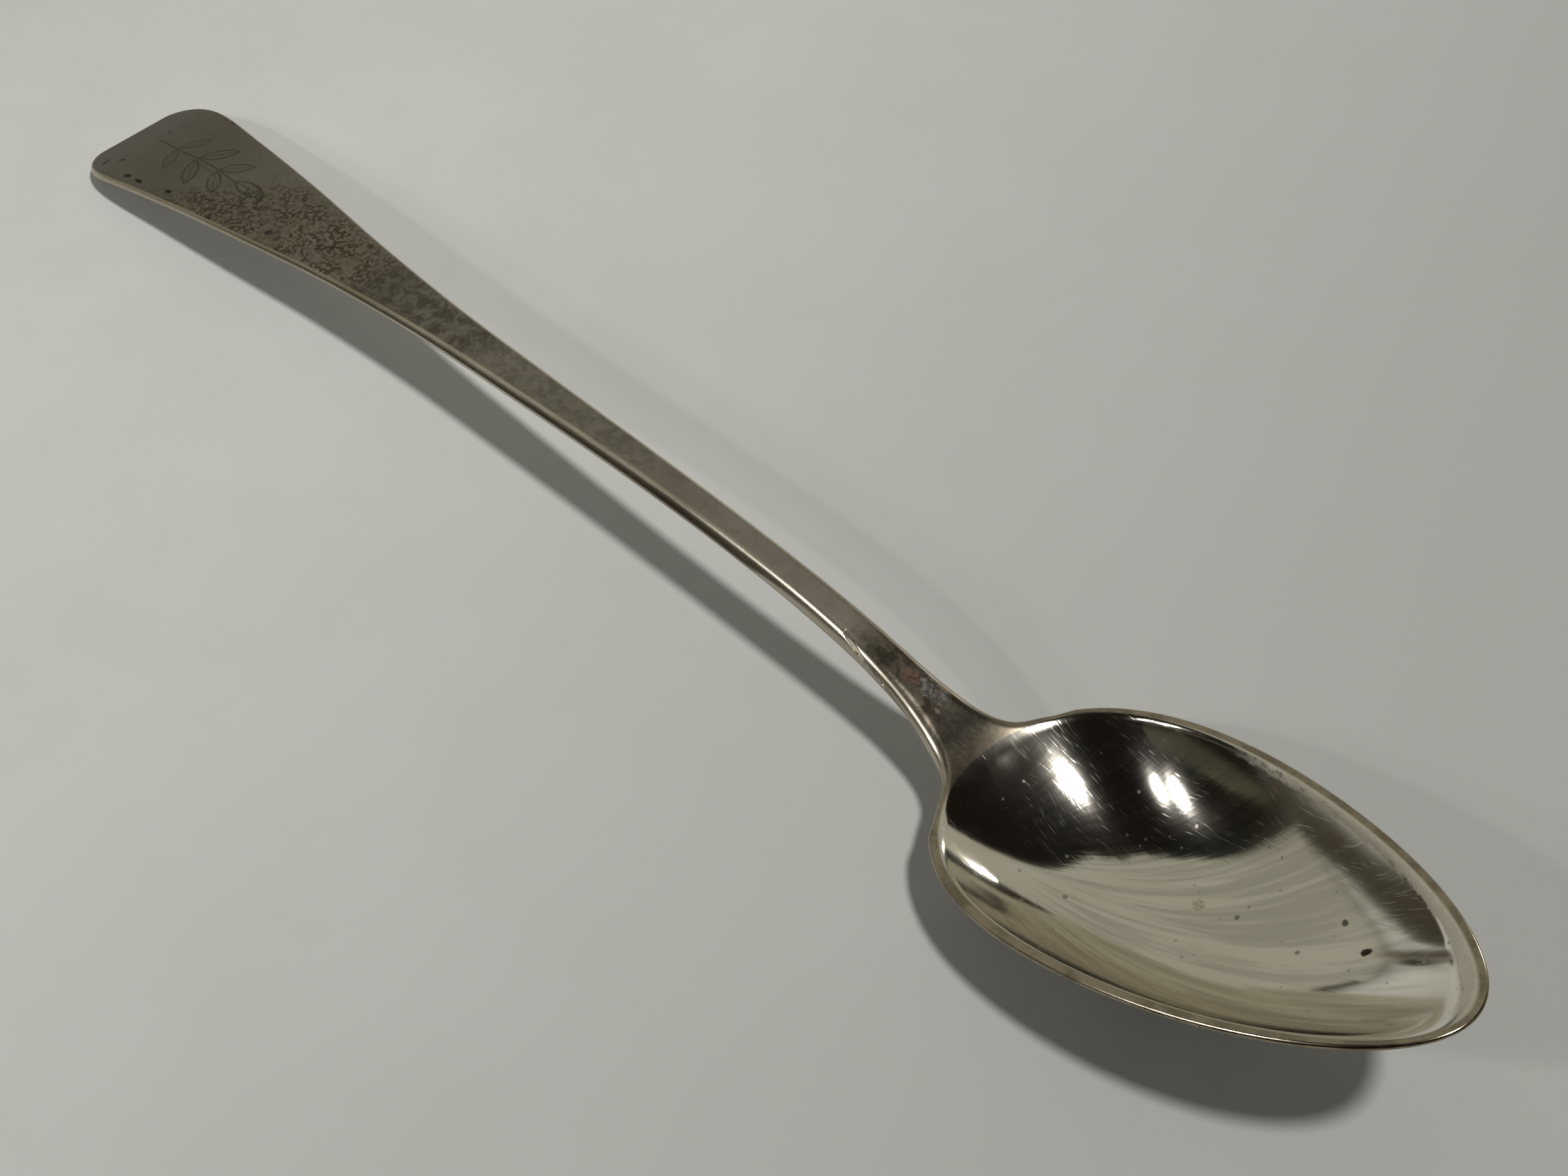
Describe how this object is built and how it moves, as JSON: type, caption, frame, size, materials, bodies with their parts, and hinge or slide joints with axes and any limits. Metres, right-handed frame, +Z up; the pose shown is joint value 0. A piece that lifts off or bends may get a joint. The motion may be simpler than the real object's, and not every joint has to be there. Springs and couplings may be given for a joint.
{
  "type": "basting spoon",
  "caption": "Long-handled metal basting spoon with a deep egg-shaped bowl, a slim stem and a broad, turned-down flat end, lying bowl up.",
  "frame": {"origin": "on the table, under the middle of the spoon's length and width", "axes": "+X along the spoon towards the tip of the bowl, +Y across it, +Z up from the table it lies on, bowl up"},
  "size_m": [0.305, 0.0476, 0.033],
  "materials": {
    "bowl": "polished silver plate, finely scratched, lightly tarnished",
    "stem": "worn silver plate with brown-grey tarnish",
    "solder_seam": "dull hard solder"
  },
  "bodies": {
    "root": {"bowl": "bowl", "stem": "stem", "solder_seam": "solder_seam"}
  },
  "joints": []
}
